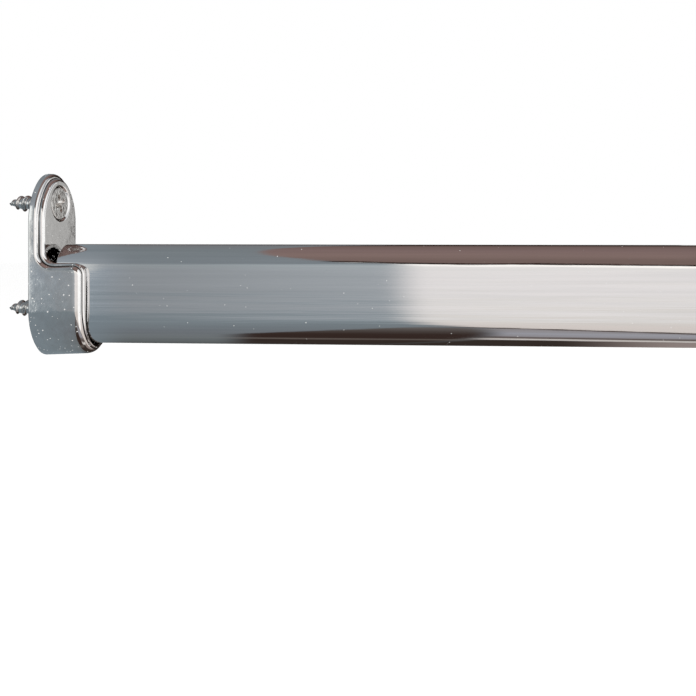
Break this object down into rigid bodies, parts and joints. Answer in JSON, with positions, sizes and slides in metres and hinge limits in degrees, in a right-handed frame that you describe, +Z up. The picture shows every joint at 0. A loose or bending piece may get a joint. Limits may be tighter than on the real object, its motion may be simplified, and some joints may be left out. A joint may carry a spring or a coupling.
{
  "type": "closet rod",
  "caption": "Oval closet rod that drops into open-topped cradle brackets, screwed to the side panels of a wardrobe.",
  "frame": {"origin": "middle of the oval rail where its axis meets the left side panel, on the back face of the left bracket", "axes": "+X along the rail from the left panel to the right one, +Y to the back of the closet, +Z up"},
  "size_m": [0.5888, 0.023, 0.0552],
  "materials": {
    "rail_chrome": "polished chrome plate on a drawn steel tube, with faint lengthwise scratches",
    "bracket_plate": "bright nickel plate on a zinc casting",
    "screw_steel": "bright nickel plate on steel, matt inside the recess"
  },
  "bodies": {
    "brackets": {"left_bracket": "bracket_plate", "right_bracket": "bracket_plate", "left_tab_screw": "screw_steel", "left_cradle_screw": "screw_steel", "right_tab_screw": "screw_steel", "right_cradle_screw": "screw_steel"},
    "rail": {"rod_tube": "rail_chrome"}
  },
  "joints": [
    {"name": "rail_lift", "type": "slide", "parent": "brackets", "child": "rail", "axis": [0, 0, 1], "range_m": [0, 0.045]}
  ]
}
